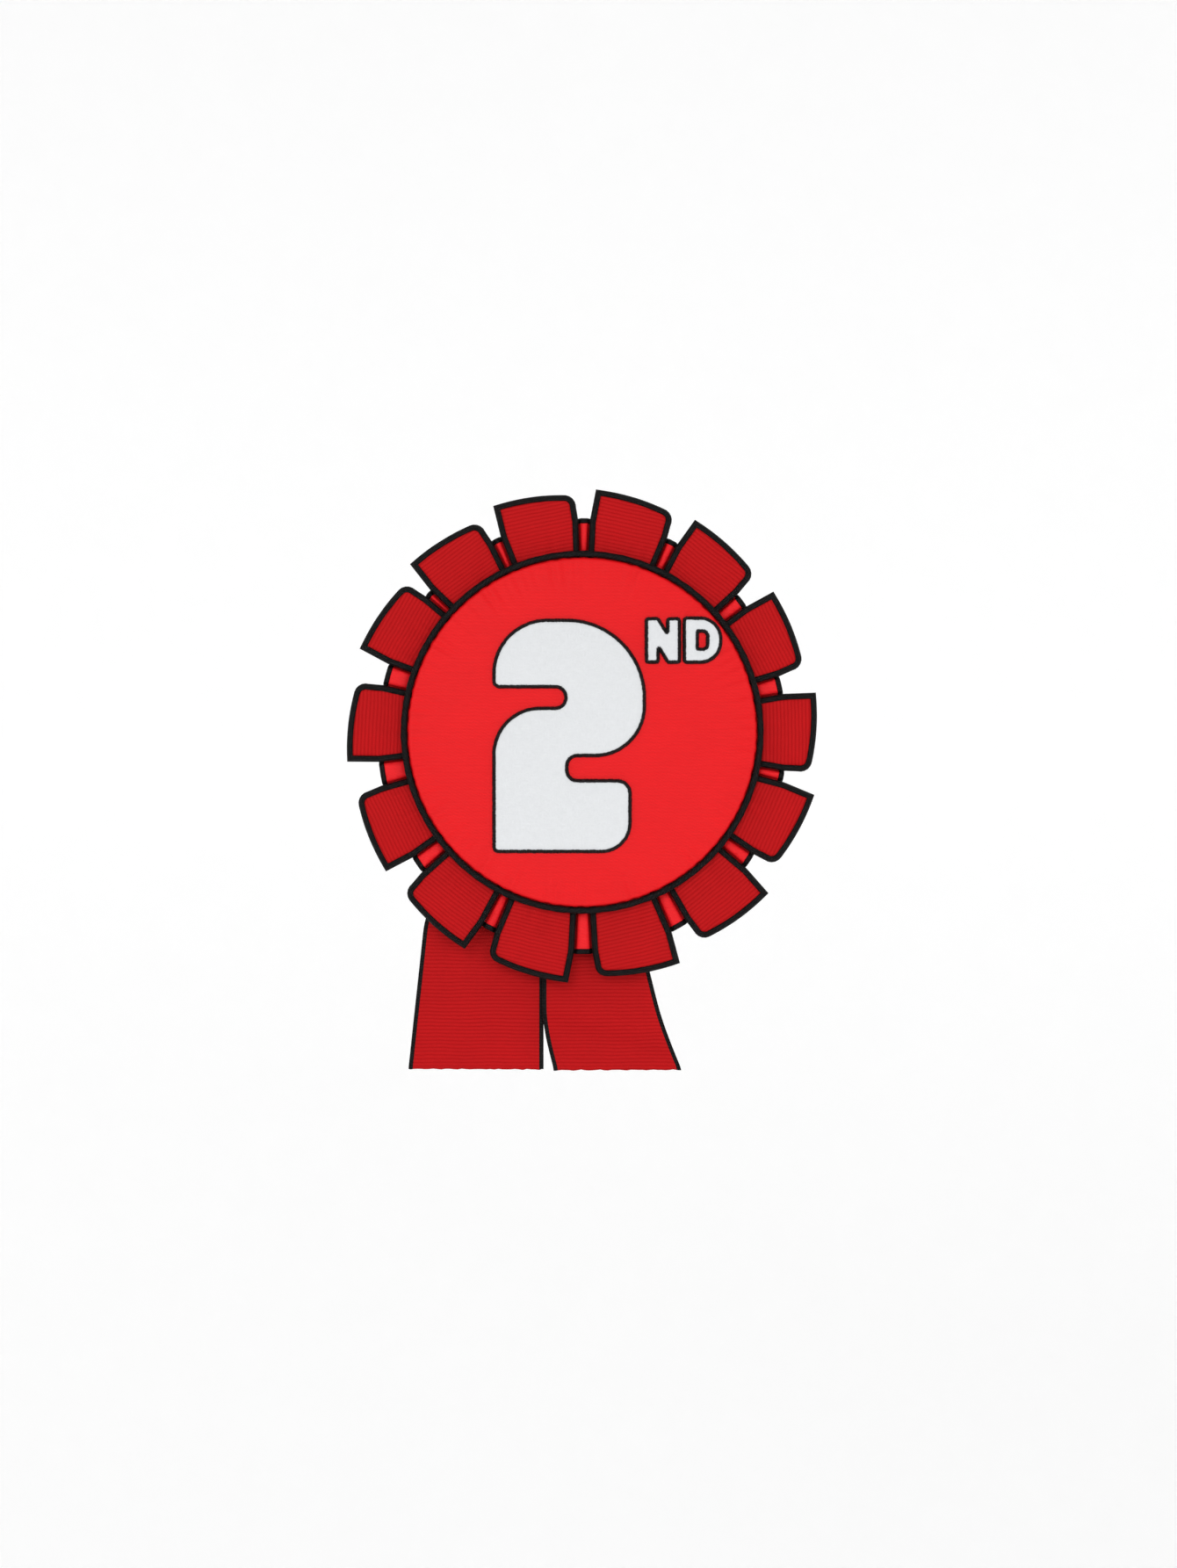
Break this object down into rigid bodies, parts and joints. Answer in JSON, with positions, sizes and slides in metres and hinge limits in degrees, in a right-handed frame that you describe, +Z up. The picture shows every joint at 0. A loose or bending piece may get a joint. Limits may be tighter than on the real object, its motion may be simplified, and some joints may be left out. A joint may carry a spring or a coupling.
{
  "type": "award rosette ribbon",
  "caption": "Second-place prize rosette: a padded satin button in a ring of bound ribbon tabs, two hanging ribbon tails, and a safety bar pin behind.",
  "frame": {"origin": "centre of the back cover's back face, where the rosette rests against the cloth it is pinned to", "axes": "+Z up the rosette, -Y out of its front, +X to the right seen from the front; the bar pin is on the +Y side"},
  "size_m": [0.1346, 0.0243, 0.1662],
  "materials": {
    "satin_bright": "woven satin with a soft sheen",
    "satin_dark": "woven satin ribbon",
    "trim_black": "black binding tape",
    "stitch_black": "satin-stitched thread",
    "felt_grey": "wool felt",
    "foam": "open-cell foam sheet",
    "card": "stiff uncoated card",
    "glue": "hot-melt glue",
    "steel": "nickel-plated pressed steel",
    "wire": "bright drawn wire"
  },
  "bodies": {
    "rosette": {"button_face": "satin_bright", "underlay": "satin_bright", "tab_01": "satin_dark", "tab_02": "satin_dark", "tab_03": "satin_dark", "tab_04": "satin_dark", "tab_05": "satin_dark", "tab_06": "satin_dark", "tab_07": "satin_dark", "tab_08": "satin_dark", "tab_09": "satin_dark", "tab_10": "satin_dark", "tab_11": "satin_dark", "tab_12": "satin_dark", "tab_13": "satin_dark", "tab_14": "satin_dark", "tail_left_head": "satin_dark", "tail_right_head": "satin_dark", "tab_binding_01": "trim_black", "tab_binding_02": "trim_black", "tab_binding_03": "trim_black", "tab_binding_04": "trim_black", "tab_binding_05": "trim_black", "tab_binding_06": "trim_black", "tab_binding_07": "trim_black", "tab_binding_08": "trim_black", "tab_binding_09": "trim_black", "tab_binding_10": "trim_black", "tab_binding_11": "trim_black", "tab_binding_12": "trim_black", "tab_binding_13": "trim_black", "tab_binding_14": "trim_black", "underlay_binding": "trim_black", "button_piping": "trim_black", "numeral_2_border": "stitch_black", "letter_n_border": "stitch_black", "letter_d_border": "stitch_black", "numeral_2": "felt_grey", "letter_n": "felt_grey", "letter_d": "felt_grey", "button_padding": "foam", "backing_card": "card", "button_card": "card", "back_cover": "card", "glue_dots": "glue", "pin_plate": "steel", "pin_catch": "steel", "pin_hinge_rivet": "wire", "pin_rivets": "wire", "ruffle_staples": "wire", "tail_staples": "wire"},
    "needle": {"pin_needle": "wire"},
    "roller": {"safety_roller": "steel"},
    "left_tail": {"tail_left": "satin_dark"},
    "right_tail": {"tail_right": "satin_dark"}
  },
  "joints": [
    {"name": "pin_hinge", "type": "hinge", "parent": "rosette", "child": "needle", "pos_m": [-0.017, 0.006, 0.014], "axis": [0, 0, 1], "range_deg": [0, 100]},
    {"name": "roller_turn", "type": "hinge", "parent": "rosette", "child": "roller", "pos_m": [0.0147, 0.006, 0.014], "axis": [1, 0, 0], "range_deg": [0, 90]},
    {"name": "left_tail_swing", "type": "hinge", "parent": "rosette", "child": "left_tail", "pos_m": [-0.0277, -0.0019, -0.0518], "axis": [1, 0, 0], "range_deg": [0, 90]},
    {"name": "right_tail_swing", "type": "hinge", "parent": "rosette", "child": "right_tail", "pos_m": [0.001, -0.0019, -0.0518], "axis": [1, 0, 0], "range_deg": [0, 90]}
  ]
}
